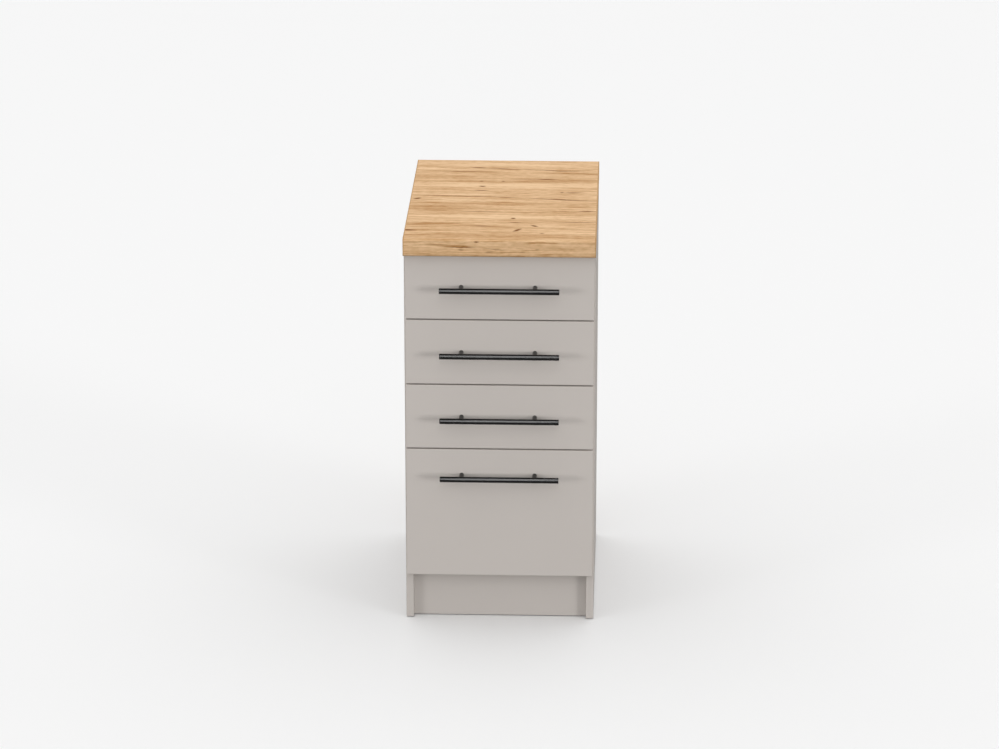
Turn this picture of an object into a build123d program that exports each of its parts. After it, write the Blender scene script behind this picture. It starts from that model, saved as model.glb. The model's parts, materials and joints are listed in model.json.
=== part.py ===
from build123d import *
import os

# Kitchen base cabinet: four drawers on roller runners under an oak-look worktop.
# Millimetres, +X to the right seen from the front, +Y to the back, +Z up.
# The origin is on the floor, in the middle of the cabinet's outline.

# Carcass
CABINET_WIDTH = 400.0
CARCASS_HEIGHT = 820.0  # floor to the underside of the worktop
CARCASS_DEPTH = 510.0  # front edge of a side panel to the outside of the back panel
BOARD = 16.0  # faced chipboard of the carcass
HARDBOARD = 3.0  # back panel and drawer bottoms
TOE_HEIGHT = 104.0  # floor to the underside of the bottom panel
PLINTH_RECESS = 15.0  # plinth board behind the front edges of the sides
RAIL_WIDTH = 100.0  # flat top rails
BACK_INSET = 2.0  # back panel inside the outline of the boards it is nailed to
EDGE_RADIUS = 1.0  # rounding of the edge bands

# Worktop
WORKTOP_THICKNESS = 38.0
FRONT_OVERHANG = 38.0  # ahead of the side panels
REAR_OVERHANG = 52.0  # behind the back panel, room for pipes
NOSE_RADIUS = 5.0  # laminate bent over the front edge
LAMINATE = 0.8
LAMINATE_RETURN = 25.0  # laminate carried on under the front edge
END_STRIP = 2.0

# Drawer fronts
SMALL_DRAWERS = 3  # equal drawers above the tall one
SMALL_FRONT_HEIGHT = 140.0
FRONT_BOARD = 16.0
FRONT_GAP = 3.0  # between one front and the next
SIDE_REVEAL = 3.0  # side panel left showing beside a front
TOP_REVEAL = 2.0  # under the worktop
BOTTOM_REVEAL = 1.0  # lowest front above the underside of the bottom panel
FRONT_SEAT = 0.5  # closed front off the edges of the carcass

# Bar handles
HANDLE_LENGTH = 250.0
BAR_DIAMETER = 12.0
POST_DIAMETER = 10.0
POST_SPACING = 154.0
POST_OFFSET = -3.0  # middle between the posts, left of the bar's middle
HANDLE_GAP = 23.0  # fingers' room between the bar and the front
TALL_HANDLE_DROP = 57.0  # bar axis under the top edge of the tall front
BAR_CHAMFER = 0.6
SPIGOT_DIAMETER = 6.0  # end of a post let into the bar
SPIGOT_DEPTH = 5.0

# Drawer boxes
BOX_BOARD = 16.0
BOX_REAR_GAP = 57.5  # box to the back panel
BOX_TOP_DROP = 27.0  # box under the top edge of its front
GROOVE_DEPTH = 6.0
GROOVE_RISE = 10.0  # bottom's groove over the lower edge of a side

# Roller runners, folded from steel strip
RUNNER_LIFT = 20.0  # channel over the lower edge of its front
RUNNER_REAR_GAP = 55.0  # channel to the back panel
CHANNEL_SETBACK = 2.0  # channel behind the front edge of the side
RUNNER_GAP = 12.5  # side panel to drawer side
STEEL = 1.2
BEND_RADIUS = 1.2  # on the middle of the strip
CHANNEL_LIP = 2.5  # turned up along the inner edge of the channel
TOP_FLANGE = 7.5
WEB_PLAY = 1.1  # channel's lip to the rail's web
HEADROOM = 2.8  # rail's flange to the channel's top flange
RAIL_TIP_GAP = 2.2  # rail's outer lip to the side panel
RAIL_LIP = 2.0
RAIL_FOOT = 11.5  # flange under the drawer side
RAIL_SETBACK = 1.0  # rail behind the drawer front
BOX_LIFT = 3.0  # drawer side over the underside of the channel
STOP_SETBACK = 60.0  # stop nib behind the axle of the front roller
STOP_HEIGHT = 3.0
STOP_THICKNESS = 2.0

# Rollers
ROLLER_DIAMETER = 20.0
ROLLER_CHAMFER = 0.5
ROLLER_INSET = 14.0  # axle from the end of its strip
AXLE_DIAMETER = 4.0
AXLE_PLAY = 0.05  # radial, roller on its axle
END_PLAY = 0.2  # beside a roller
RUN_PLAY = 0.3  # roller to the flange that runs on it
FLANGE_PLAY = 0.5  # rear roller to its own rail's flange
STUD_DIAMETER = 7.0
STUD_HEAD = 6.5
STUD_HEAD_THICKNESS = 0.6
ROLLER_HOLES = 4
ROLLER_HOLE_DIAMETER = 2.6
ROLLER_HOLE_CIRCLE = 12.0

# Fasteners, each a row of (diameter, length) steps from its outer end
FIT = 0.1  # between a fastener or a tongue and its hole or groove
CONFIRMAT = [(9.5, 3.0), (7.0, 12.0), (5.0, 34.0)]
CAP_DIAMETER = 12.0
CAP_THICKNESS = 1.0
HEX_KEY = 4.0
DOWEL_DIAMETER = 8.0
DOWEL_LENGTH = 30.0
DOWEL_DEPTH = 10.0  # part of a dowel in the side panel
NAIL = [(3.2, 0.6), (1.4, 20.0)]
NAIL_PITCH = 115.0
NAIL_INSET = 30.0  # outer nails from the ends of an edge
GLIDE_THICKNESS = 2.0
GLIDE = [(14.0, GLIDE_THICKNESS), (3.0, 12.0)]
GLIDE_INSET = 40.0
WORKTOP_SCREW_HEAD = 2.4
WORKTOP_SCREW = [(8.0, WORKTOP_SCREW_HEAD), (4.0, 30.0)]
WORKTOP_SCREW_SPREAD = 100.0  # each side of the middle
RUNNER_SCREW_HEAD = 1.0
RUNNER_SCREW = [(8.0, RUNNER_SCREW_HEAD), (6.0, 12.0)]
RUNNER_SCREW_INSET = 45.0  # outer screws from the ends of a strip
RUNNER_SCREW_PITCH = 180.0
RAIL_SCREW_HEAD = 1.0
RAIL_SCREW = [(7.0, RAIL_SCREW_HEAD), (3.5, 14.0)]
BOTTOM_SCREW_HEAD = 1.0
BOTTOM_SCREW = [(6.0, BOTTOM_SCREW_HEAD), (3.0, 16.0)]
BOTTOM_SCREW_PITCH = 120.0
HANDLE_SCREW_HEAD = 2.4
HANDLE_SCREW_DIAMETER = 4.0
HANDLE_SCREW_HEAD_DIAMETER = 8.0
HANDLE_THREAD = 12.0  # screw in the post
CAM_DIAMETER = 15.0
CAM_DEPTH = 12.0
CAM_SETBACK = 24.0  # cam's centre behind the drawer front
CAM_RISE = 32.0  # lower cam over the lower edge of a side
CAM_TOP_INSET = 20.0  # upper cam under the top edge
CAM_BOLT_DIAMETER = 6.0
CAM_BOLT_DEPTH = 11.0  # in the front
BOX_SCREW_INSET = 20.0  # from the ends of the box back
SLOT_WIDTH = 1.2  # cross recess of a screw
SLOT_SHARE = 0.6  # cross recess over the head's diameter
SLOT_DEPTH = 0.6
JOINT_INSET = 50.0  # screws of the bottom panel from its ends
RAIL_JOINT = 25.0  # screw and dowel each side of a rail's middle
PLINTH_JOINT = 22.0  # screw and dowel each side of the plinth's middle

# Places that follow from the sizes
LEFT, RIGHT = -1, 1
SIDES = (LEFT, RIGHT)
OUTER_HALF = CABINET_WIDTH / 2
INNER_HALF = OUTER_HALF - BOARD
FRONT_HALF = OUTER_HALF - SIDE_REVEAL
BOX_HALF = INNER_HALF - RUNNER_GAP
BOX_INNER = BOX_HALF - BOX_BOARD
FRONT_REACH = FRONT_SEAT + FRONT_BOARD + HANDLE_GAP + BAR_DIAMETER
EDGE_Y = (FRONT_REACH - CARCASS_DEPTH - REAR_OVERHANG) / 2
BACK_Y = EDGE_Y + CARCASS_DEPTH - HARDBOARD
PLINTH_Y = EDGE_Y + PLINTH_RECESS
NOSE_Y = EDGE_Y - FRONT_OVERHANG
WORKTOP_BACK_Y = BACK_Y + HARDBOARD + REAR_OVERHANG
WORKTOP_TOP = CARCASS_HEIGHT + WORKTOP_THICKNESS
RAIL_Z = CARCASS_HEIGHT - BOARD
FRONT_BACK_Y = EDGE_Y - FRONT_SEAT
FRONT_FACE_Y = FRONT_BACK_Y - FRONT_BOARD
BAR_Y = FRONT_FACE_Y - HANDLE_GAP - BAR_DIAMETER / 2
BOX_BACK_Y = BACK_Y - BOX_REAR_GAP
CHANNEL_Y = EDGE_Y + CHANNEL_SETBACK
CHANNEL_END_Y = BACK_Y - RUNNER_REAR_GAP
RAIL_Y = FRONT_BACK_Y + RAIL_SETBACK
FRONT_AXLE_Y = CHANNEL_Y + ROLLER_INSET
REAR_AXLE_Y = BOX_BACK_Y - ROLLER_INSET
STOP_Y = FRONT_AXLE_Y + STOP_SETBACK

# Runner section: distance in from the side panel, and rise over the underside of the channel
CHANNEL_WIDTH = RUNNER_GAP - STEEL - WEB_PLAY
ROLLER_OUTER = RAIL_TIP_GAP + STEEL + END_PLAY
ROLLER_INNER = CHANNEL_WIDTH - STEEL - END_PLAY
ROLLER_WIDTH = ROLLER_INNER - ROLLER_OUTER
REAR_AXLE_RISE = STEEL + RUN_PLAY + ROLLER_DIAMETER / 2
FLANGE_RISE = REAR_AXLE_RISE + ROLLER_DIAMETER / 2 + FLANGE_PLAY
FRONT_AXLE_RISE = FLANGE_RISE - RUN_PLAY - ROLLER_DIAMETER / 2
CHANNEL_HEIGHT = FLANGE_RISE + STEEL + HEADROOM + STEEL
CHANNEL_BENDS = [
    (TOP_FLANGE, CHANNEL_HEIGHT - STEEL / 2),
    (STEEL / 2, CHANNEL_HEIGHT - STEEL / 2),
    (STEEL / 2, STEEL / 2),
    (CHANNEL_WIDTH - STEEL / 2, STEEL / 2),
    (CHANNEL_WIDTH - STEEL / 2, STEEL + CHANNEL_LIP),
]
RAIL_BENDS = [
    (RAIL_TIP_GAP + STEEL / 2, FLANGE_RISE - RAIL_LIP),
    (RAIL_TIP_GAP + STEEL / 2, FLANGE_RISE + STEEL / 2),
    (RUNNER_GAP - STEEL / 2, FLANGE_RISE + STEEL / 2),
    (RUNNER_GAP - STEEL / 2, BOX_LIFT - STEEL / 2),
    (RUNNER_GAP + RAIL_FOOT, BOX_LIFT - STEEL / 2),
]
STUD_END = (STUD_HEAD, STUD_HEAD_THICKNESS)
STUD_AXLE = (AXLE_DIAMETER, ROLLER_WIDTH + 2 * END_PLAY)
FRONT_STUD = [(STUD_DIAMETER, ROLLER_OUTER - END_PLAY - STEEL / 2), STUD_AXLE, STUD_END]
REAR_STUD = [(STUD_DIAMETER, RUNNER_GAP - STEEL / 2 - ROLLER_INNER - END_PLAY), STUD_AXLE, STUD_END]

# Fasteners whose lengths follow from the boards they pass
DOWEL = [(DOWEL_DIAMETER, DOWEL_LENGTH)]
CAP = [(CAP_DIAMETER, CAP_THICKNESS)]
CAM = [(CAM_DIAMETER, CAM_DEPTH)]
CAM_BOLT = [(CAM_BOLT_DIAMETER, CAM_BOLT_DEPTH + CAM_SETBACK)]
HANDLE_SCREW = [
    (HANDLE_SCREW_HEAD_DIAMETER, HANDLE_SCREW_HEAD),
    (HANDLE_SCREW_DIAMETER, FRONT_BOARD + HANDLE_THREAD),
]


def finish(piece, name):
    """Label a finished piece and write its STEP file."""
    piece.part.label = name
    export_step(piece.part, f"parts/{name}.step")


def spread(low, high, pitch):
    """Even steps from low to high, as near the pitch as a whole number of them comes."""
    steps = max(1, round((high - low) / pitch))
    return [low + (high - low) * step / steps for step in range(steps + 1)]


def patch(low_u, high_u, low_v, high_v):
    """Rectangle in the current sketch, given by its sides."""
    with Locations(((low_u + high_u) / 2, (low_v + high_v) / 2)):
        Rectangle(high_u - low_u, high_v - low_v)


def block(x, y, z, mode=Mode.ADD):
    """Box in the current part, given by its pairs of faces."""
    pairs = (x, y, z)
    with Locations(tuple(sum(pair) / 2 for pair in pairs)):
        Box(*[abs(high - low) for low, high in pairs], mode=mode)


def turned(seats, steps, mode=Mode.ADD):
    """Round steps stacked from each seat plane along its normal."""
    reach = 0.0
    for diameter, length in steps:
        with Locations(*[seat.offset(reach) for seat in seats]):
            Cylinder(diameter / 2, length, align=(Align.CENTER, Align.CENTER, Align.MIN), mode=mode)
        reach += length


def bored(seats, steps):
    """Holes for turned pieces, wider and deeper than them by the fit."""
    last_diameter, last_length = steps[-1]
    deeper = [*steps[:-1], (last_diameter, last_length + FIT)]
    wider = [(diameter + 2 * FIT, length) for diameter, length in deeper]
    turned(seats, wider, Mode.SUBTRACT)


def cross_recesses(seats, steps):
    """Cross recesses in the heads of screws."""
    span = SLOT_SHARE * steps[0][0]
    for along, across in ((span, SLOT_WIDTH), (SLOT_WIDTH, span)):
        with Locations(*seats):
            Box(along, across, 2 * SLOT_DEPTH, mode=Mode.SUBTRACT)


def hex_recesses(seats, steps):
    """Hexagon sockets in the heads of confirmat screws."""
    with BuildSketch(*seats) as sockets:
        RegularPolygon(HEX_KEY / 2, 6, major_radius=False)
    extrude(sockets.sketch, amount=steps[0][1], mode=Mode.SUBTRACT)


def in_from_side(side, distance):
    """X at a distance in from the inner face of a side panel."""
    return side * (INNER_HALF - distance)


def front_spans():
    """Lower and upper edge of each drawer front, from the top drawer down."""
    top = CARCASS_HEIGHT - TOP_REVEAL
    spans = []
    for _ in range(SMALL_DRAWERS):
        spans.append((top - SMALL_FRONT_HEIGHT, top))
        top -= SMALL_FRONT_HEIGHT + FRONT_GAP
    spans.append((TOE_HEIGHT + BOTTOM_REVEAL, top))
    return spans


def runner_bases():
    """Height of the underside of each drawer's channels."""
    return [low + RUNNER_LIFT for low, high in front_spans()]


# Where the boards of the carcass are joined: (y, z) of each screw and dowel on a side panel
BOTTOM_MID_Z = TOE_HEIGHT + BOARD / 2
RAIL_MID_Z = CARCASS_HEIGHT - BOARD / 2
FRONT_RAIL_MID_Y = EDGE_Y + RAIL_WIDTH / 2
REAR_RAIL_MID_Y = BACK_Y - RAIL_WIDTH / 2
PLINTH_MID_Y = PLINTH_Y + BOARD / 2
PLINTH_MID_Z = (GLIDE_THICKNESS + TOE_HEIGHT) / 2
SCREW_POINTS = {
    "bottom": [(EDGE_Y + JOINT_INSET, BOTTOM_MID_Z), (BACK_Y - JOINT_INSET, BOTTOM_MID_Z)],
    "front_rail": [(FRONT_RAIL_MID_Y - RAIL_JOINT, RAIL_MID_Z)],
    "rear_rail": [(REAR_RAIL_MID_Y + RAIL_JOINT, RAIL_MID_Z)],
    "plinth": [(PLINTH_MID_Y, PLINTH_MID_Z + PLINTH_JOINT)],
}
DOWEL_POINTS = {
    "bottom": [((EDGE_Y + BACK_Y) / 2, BOTTOM_MID_Z)],
    "front_rail": [(FRONT_RAIL_MID_Y + RAIL_JOINT, RAIL_MID_Z)],
    "rear_rail": [(REAR_RAIL_MID_Y - RAIL_JOINT, RAIL_MID_Z)],
    "plinth": [(PLINTH_MID_Y, PLINTH_MID_Z - PLINTH_JOINT)],
}
BOARDS = list(SCREW_POINTS)


def side_seats(points, boards, sides, reach):
    """Seats on the side panels for joints with the named boards, facing inwards."""
    return [
        Plane((side * reach, y, z), z_dir=(-side, 0, 0))
        for side in sides
        for board in boards
        for y, z in points[board]
    ]


def screw_seats(boards, sides=SIDES):
    return side_seats(SCREW_POINTS, boards, sides, OUTER_HALF - CAP_THICKNESS)


def cap_seats(sides=SIDES):
    return side_seats(SCREW_POINTS, BOARDS, sides, OUTER_HALF)


def dowel_seats(boards, sides=SIDES):
    return side_seats(DOWEL_POINTS, boards, sides, INNER_HALF + DOWEL_DEPTH)


def nail_seats(edge):
    """Seats of the nails along one edge of the back panel: left, right, bottom or top."""
    column = spread(TOE_HEIGHT + NAIL_INSET, CARCASS_HEIGHT - NAIL_INSET, NAIL_PITCH)
    row = spread(NAIL_INSET - INNER_HALF, INNER_HALF - NAIL_INSET, NAIL_PITCH)
    points = {
        "left": [(-OUTER_HALF + BOARD / 2, z) for z in column],
        "right": [(OUTER_HALF - BOARD / 2, z) for z in column],
        "bottom": [(x, BOTTOM_MID_Z) for x in row],
        "top": [(x, RAIL_MID_Z) for x in row],
    }
    head_y = BACK_Y + HARDBOARD + NAIL[0][1]
    return [Plane((x, head_y, z), z_dir=(0, -1, 0)) for x, z in points[edge]]


def glide_seats(sides=SIDES):
    ends = (EDGE_Y + GLIDE_INSET, BACK_Y - GLIDE_INSET)
    middle = OUTER_HALF - BOARD / 2
    return [Plane((side * middle, y, 0), z_dir=(0, 0, 1)) for side in sides for y in ends]


def worktop_screw_seats(rail_mid_y):
    low = RAIL_Z - WORKTOP_SCREW_HEAD
    return [Plane((side * WORKTOP_SCREW_SPREAD, rail_mid_y, low), z_dir=(0, 0, 1)) for side in SIDES]


def runner_screw_seats(side):
    """Screws through the webs of the channels into a side panel."""
    head_x = in_from_side(side, STEEL + RUNNER_SCREW_HEAD)
    places = spread(CHANNEL_Y + RUNNER_SCREW_INSET, CHANNEL_END_Y - RUNNER_SCREW_INSET, RUNNER_SCREW_PITCH)
    return [
        Plane((head_x, y, base + CHANNEL_HEIGHT / 2), z_dir=(side, 0, 0))
        for base in runner_bases()
        for y in places
    ]


os.makedirs("parts", exist_ok=True)

# Carcass boards
for name, side in (("side_panel_left", LEFT), ("side_panel_right", RIGHT)):
    with BuildPart() as side_panel:
        with BuildSketch(Plane.YZ.offset(side * (OUTER_HALF - BOARD / 2))):
            patch(EDGE_Y, BACK_Y, GLIDE_THICKNESS, CARCASS_HEIGHT)
        extrude(amount=BOARD / 2, both=True)
        front_edges = side_panel.edges().filter_by(Axis.Z).group_by(Axis.Y)[0]
        fillet(front_edges, EDGE_RADIUS)
        bored(screw_seats(BOARDS, [side]), CONFIRMAT)
        bored(cap_seats([side]), CAP)
        bored(dowel_seats(BOARDS, [side]), DOWEL)
        bored(glide_seats([side]), GLIDE)
        bored(nail_seats("left" if side == LEFT else "right"), NAIL)
        bored(runner_screw_seats(side), RUNNER_SCREW)
    finish(side_panel, name)

with BuildPart() as bottom_panel:
    with BuildSketch(Plane.XY.offset(TOE_HEIGHT)):
        patch(-INNER_HALF, INNER_HALF, EDGE_Y, BACK_Y)
    extrude(amount=BOARD)
    bored(screw_seats(["bottom"]), CONFIRMAT)
    bored(dowel_seats(["bottom"]), DOWEL)
    bored(nail_seats("bottom"), NAIL)
finish(bottom_panel, "bottom_panel")

for name, board, low_y in (
    ("top_rail_front", "front_rail", EDGE_Y),
    ("top_rail_rear", "rear_rail", BACK_Y - RAIL_WIDTH),
):
    with BuildPart() as top_rail:
        with BuildSketch(Plane.XY.offset(RAIL_Z)):
            patch(-INNER_HALF, INNER_HALF, low_y, low_y + RAIL_WIDTH)
        extrude(amount=BOARD)
        bored(screw_seats([board]), CONFIRMAT)
        bored(dowel_seats([board]), DOWEL)
        bored(worktop_screw_seats(low_y + RAIL_WIDTH / 2), WORKTOP_SCREW)
        if board == "rear_rail":
            bored(nail_seats("top"), NAIL)
    finish(top_rail, name)

with BuildPart() as plinth_board:
    with BuildSketch(Plane.XY.offset(GLIDE_THICKNESS)):
        patch(-INNER_HALF, INNER_HALF, PLINTH_Y, PLINTH_Y + BOARD)
    extrude(amount=TOE_HEIGHT - GLIDE_THICKNESS)
    bored(screw_seats(["plinth"]), CONFIRMAT)
    bored(dowel_seats(["plinth"]), DOWEL)
finish(plinth_board, "plinth_board")

all_nails = [seat for edge in ("left", "right", "bottom", "top") for seat in nail_seats(edge)]
with BuildPart() as back_panel:
    half_width = OUTER_HALF - BACK_INSET
    block(
        (-half_width, half_width),
        (BACK_Y, BACK_Y + HARDBOARD),
        (TOE_HEIGHT + BACK_INSET, CARCASS_HEIGHT - BACK_INSET),
    )
    bored(all_nails, NAIL)
finish(back_panel, "back_panel")

# Fasteners of the carcass
with BuildPart() as carcass_screws:
    turned(screw_seats(BOARDS), CONFIRMAT)
    hex_recesses(screw_seats(BOARDS), CONFIRMAT)
finish(carcass_screws, "carcass_screws")

with BuildPart() as screw_caps:
    turned(cap_seats(), CAP)
finish(screw_caps, "screw_caps")

with BuildPart() as carcass_dowels:
    turned(dowel_seats(BOARDS), DOWEL)
finish(carcass_dowels, "carcass_dowels")

with BuildPart() as back_panel_nails:
    turned(all_nails, NAIL)
finish(back_panel_nails, "back_panel_nails")

with BuildPart() as floor_glides:
    turned(glide_seats(), GLIDE)
finish(floor_glides, "floor_glides")

all_worktop_screws = worktop_screw_seats(FRONT_RAIL_MID_Y) + worktop_screw_seats(REAR_RAIL_MID_Y)
with BuildPart() as worktop_screws:
    turned(all_worktop_screws, WORKTOP_SCREW)
    cross_recesses(all_worktop_screws, WORKTOP_SCREW)
finish(worktop_screws, "worktop_screws")

# Worktop: a core, laminate bent over its front, and a strip on each end
CORE_HALF = OUTER_HALF - END_STRIP

with BuildSketch() as worktop_outline:
    patch(NOSE_Y, WORKTOP_BACK_Y, CARCASS_HEIGHT, WORKTOP_TOP)
    fillet(worktop_outline.vertices().group_by(Axis.X)[0], NOSE_RADIUS)

with BuildSketch() as core_outline:
    patch(NOSE_Y + LAMINATE, WORKTOP_BACK_Y, CARCASS_HEIGHT + LAMINATE, WORKTOP_TOP - LAMINATE)
    fillet(core_outline.vertices().group_by(Axis.X)[0], NOSE_RADIUS - LAMINATE)
    patch(NOSE_Y + LAMINATE_RETURN, WORKTOP_BACK_Y, CARCASS_HEIGHT, CARCASS_HEIGHT + LAMINATE)

with BuildPart() as worktop_core:
    with BuildSketch(Plane.YZ):
        add(core_outline.sketch)
    extrude(amount=CORE_HALF, both=True)
    bored(all_worktop_screws, WORKTOP_SCREW)
finish(worktop_core, "worktop_core")

with BuildPart() as worktop_laminate:
    with BuildSketch(Plane.YZ):
        add(worktop_outline.sketch)
        add(core_outline.sketch, mode=Mode.SUBTRACT)
    extrude(amount=CORE_HALF, both=True)
finish(worktop_laminate, "worktop_laminate")

with BuildPart() as worktop_end_strips:
    for side in SIDES:
        with BuildSketch(Plane.YZ.offset(side * (CORE_HALF + END_STRIP / 2))):
            add(worktop_outline.sketch)
    extrude(amount=END_STRIP / 2, both=True)
finish(worktop_end_strips, "worktop_end_strips")


def folded_strip(side, base, bends):
    """Section of a folded steel strip in the current sketch, from its bends on one side of the cabinet."""
    points = [(in_from_side(side, distance), base + rise) for distance, rise in bends]
    with BuildLine() as fold:
        FilletPolyline(*points, radius=BEND_RADIUS)
    trace(fold.line, line_width=STEEL)


def front_stud_seats(base, sides=SIDES):
    """Studs of the front rollers, on the webs of the channels."""
    z = base + FRONT_AXLE_RISE
    return [Plane((in_from_side(side, STEEL / 2), FRONT_AXLE_Y, z), z_dir=(-side, 0, 0)) for side in sides]


def rear_stud_seats(base):
    """Studs of the rear rollers, on the webs of the rails."""
    distance = RUNNER_GAP - STEEL / 2
    z = base + REAR_AXLE_RISE
    return [Plane((in_from_side(side, distance), REAR_AXLE_Y, z), z_dir=(side, 0, 0)) for side in SIDES]


# Roller channels on the side panels, with a stud for the front roller and a stop for the rear one
for name, side in (("runner_channels_left", LEFT), ("runner_channels_right", RIGHT)):
    with BuildPart() as runner_channels:
        with BuildSketch(Plane.XZ.offset(-CHANNEL_Y)):
            for base in runner_bases():
                folded_strip(side, base, CHANNEL_BENDS)
        extrude(amount=CHANNEL_Y - CHANNEL_END_Y)
        for base in runner_bases():
            turned(front_stud_seats(base, [side]), FRONT_STUD)
            block(
                (in_from_side(side, ROLLER_OUTER), in_from_side(side, ROLLER_INNER)),
                (STOP_Y - STOP_THICKNESS, STOP_Y),
                (base + STEEL / 2, base + STEEL + STOP_HEIGHT),
            )
        bored(runner_screw_seats(side), RUNNER_SCREW)
    finish(runner_channels, name)

all_runner_screws = [seat for side in SIDES for seat in runner_screw_seats(side)]
with BuildPart() as runner_screws:
    turned(all_runner_screws, RUNNER_SCREW)
    cross_recesses(all_runner_screws, RUNNER_SCREW)
finish(runner_screws, "runner_screws")


def box_span(low, high):
    """Lower and upper edge of a drawer's box, from those of its front."""
    return low + RUNNER_LIFT + BOX_LIFT, high - BOX_TOP_DROP


def groove_span(low):
    """Lower and upper face of the groove that holds a drawer's bottom."""
    floor = low + RUNNER_LIFT + BOX_LIFT + GROOVE_RISE
    return floor, floor + HARDBOARD + 2 * FIT


def bottom_span(low):
    """Lower and upper face of a drawer's bottom, in its groove."""
    floor = groove_span(low)[0] + FIT
    return floor, floor + HARDBOARD


def cam_heights(low, high):
    box_low, box_high = box_span(low, high)
    return box_low + CAM_RISE, box_high - CAM_TOP_INSET


def cam_seats(low, high):
    """Cams in the inner faces of the drawer sides."""
    x = BOX_INNER
    y = FRONT_BACK_Y + CAM_SETBACK
    return [Plane((side * x, y, z), z_dir=(side, 0, 0)) for side in SIDES for z in cam_heights(low, high)]


def cam_bolt_seats(low, high):
    """Bolts from the drawer front into the cams."""
    x = BOX_INNER + BOX_BOARD / 2
    y = FRONT_BACK_Y - CAM_BOLT_DEPTH
    return [Plane((side * x, y, z), z_dir=(0, 1, 0)) for side in SIDES for z in cam_heights(low, high)]


def box_screw_seats(low, high):
    """Confirmat screws through the drawer sides into the box back."""
    y = BOX_BACK_Y - BOX_BOARD / 2
    heights = (bottom_span(low)[1] + BOX_SCREW_INSET, box_span(low, high)[1] - BOX_SCREW_INSET)
    return [Plane((side * BOX_HALF, y, z), z_dir=(-side, 0, 0)) for side in SIDES for z in heights]


def rail_screw_seats(low, high):
    """Screws up through the rails into the drawer sides."""
    x = BOX_HALF - BOX_BOARD / 2
    z = box_span(low, high)[0] - STEEL - RAIL_SCREW_HEAD
    places = spread(RAIL_Y + RUNNER_SCREW_INSET, BOX_BACK_Y - RUNNER_SCREW_INSET, RUNNER_SCREW_PITCH)
    return [Plane((side * x, y, z), z_dir=(0, 0, 1)) for side in SIDES for y in places]


def bottom_screw_seats(low):
    """Screws up through the drawer's bottom into the box back."""
    y = BOX_BACK_Y - BOX_BOARD / 2
    z = bottom_span(low)[0] - BOTTOM_SCREW_HEAD
    places = spread(JOINT_INSET - BOX_INNER, BOX_INNER - JOINT_INSET, BOTTOM_SCREW_PITCH)
    return [Plane((x, y, z), z_dir=(0, 0, 1)) for x in places]


def post_x(side):
    """Axis of a handle's left or right post."""
    return POST_OFFSET + side * POST_SPACING / 2


def handle_screw_seats(handle_z):
    """Handle screws, driven from inside the drawer."""
    y = FRONT_BACK_Y + HANDLE_SCREW_HEAD
    return [Plane((post_x(side), y, handle_z), z_dir=(0, -1, 0)) for side in SIDES]


def make_rollers(name, y, z):
    """Pair of rollers on one axis, left and right, with holes round the bore."""
    seats = [Plane((in_from_side(side, ROLLER_OUTER), y, z), z_dir=(-side, 0, 0)) for side in SIDES]
    with BuildPart() as rollers:
        turned(seats, [(ROLLER_DIAMETER, ROLLER_WIDTH)])
        chamfer(rollers.edges().filter_by(GeomType.CIRCLE), ROLLER_CHAMFER)
        turned(seats, [(AXLE_DIAMETER + 2 * AXLE_PLAY, ROLLER_WIDTH)], Mode.SUBTRACT)
        with BuildSketch(*seats):
            with PolarLocations(ROLLER_HOLE_CIRCLE / 2, ROLLER_HOLES):
                Circle(ROLLER_HOLE_DIAMETER / 2)
        extrude(amount=ROLLER_WIDTH, mode=Mode.SUBTRACT)
    finish(rollers, name)


def make_front(name, low, high, handle_z):
    """Drawer front with a groove for the bottom and holes for the cam bolts and the handle."""
    with BuildPart() as front:
        block((-FRONT_HALF, FRONT_HALF), (FRONT_FACE_Y, FRONT_BACK_Y), (low, high))
        fillet(front.edges(), EDGE_RADIUS)
        block(
            (-BOX_INNER - GROOVE_DEPTH, BOX_INNER + GROOVE_DEPTH),
            (FRONT_BACK_Y - GROOVE_DEPTH, FRONT_BACK_Y),
            groove_span(low),
            Mode.SUBTRACT,
        )
        bored(cam_bolt_seats(low, high), CAM_BOLT)
        bored(handle_screw_seats(handle_z), HANDLE_SCREW)
    finish(front, name)


def make_box_sides(name, low, high):
    """Drawer sides, left and right."""
    box_low, box_high = box_span(low, high)
    with BuildPart() as box_sides:
        for side in SIDES:
            block((side * BOX_INNER, side * BOX_HALF), (FRONT_BACK_Y, BOX_BACK_Y), (box_low, box_high))
        fillet(box_sides.edges().filter_by(Axis.Y), EDGE_RADIUS)
        for side in SIDES:
            groove_x = (side * BOX_INNER, side * (BOX_INNER + GROOVE_DEPTH))
            block(groove_x, (FRONT_BACK_Y, BOX_BACK_Y), groove_span(low), Mode.SUBTRACT)
        bored(cam_bolt_seats(low, high), CAM_BOLT)
        bored(cam_seats(low, high), CAM)
        bored(box_screw_seats(low, high), CONFIRMAT)
        bored(rail_screw_seats(low, high), RAIL_SCREW)
    finish(box_sides, name)


def make_box_back(name, low, high):
    """Back of the drawer box, standing on its bottom."""
    with BuildPart() as box_back:
        block(
            (-BOX_INNER, BOX_INNER),
            (BOX_BACK_Y - BOX_BOARD, BOX_BACK_Y),
            (bottom_span(low)[1], box_span(low, high)[1]),
        )
        top_edges = box_back.edges().filter_by(Axis.X).group_by(Axis.Z)[-1]
        fillet(top_edges, EDGE_RADIUS)
        bored(box_screw_seats(low, high), CONFIRMAT)
        bored(bottom_screw_seats(low), BOTTOM_SCREW)
    finish(box_back, name)


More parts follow.
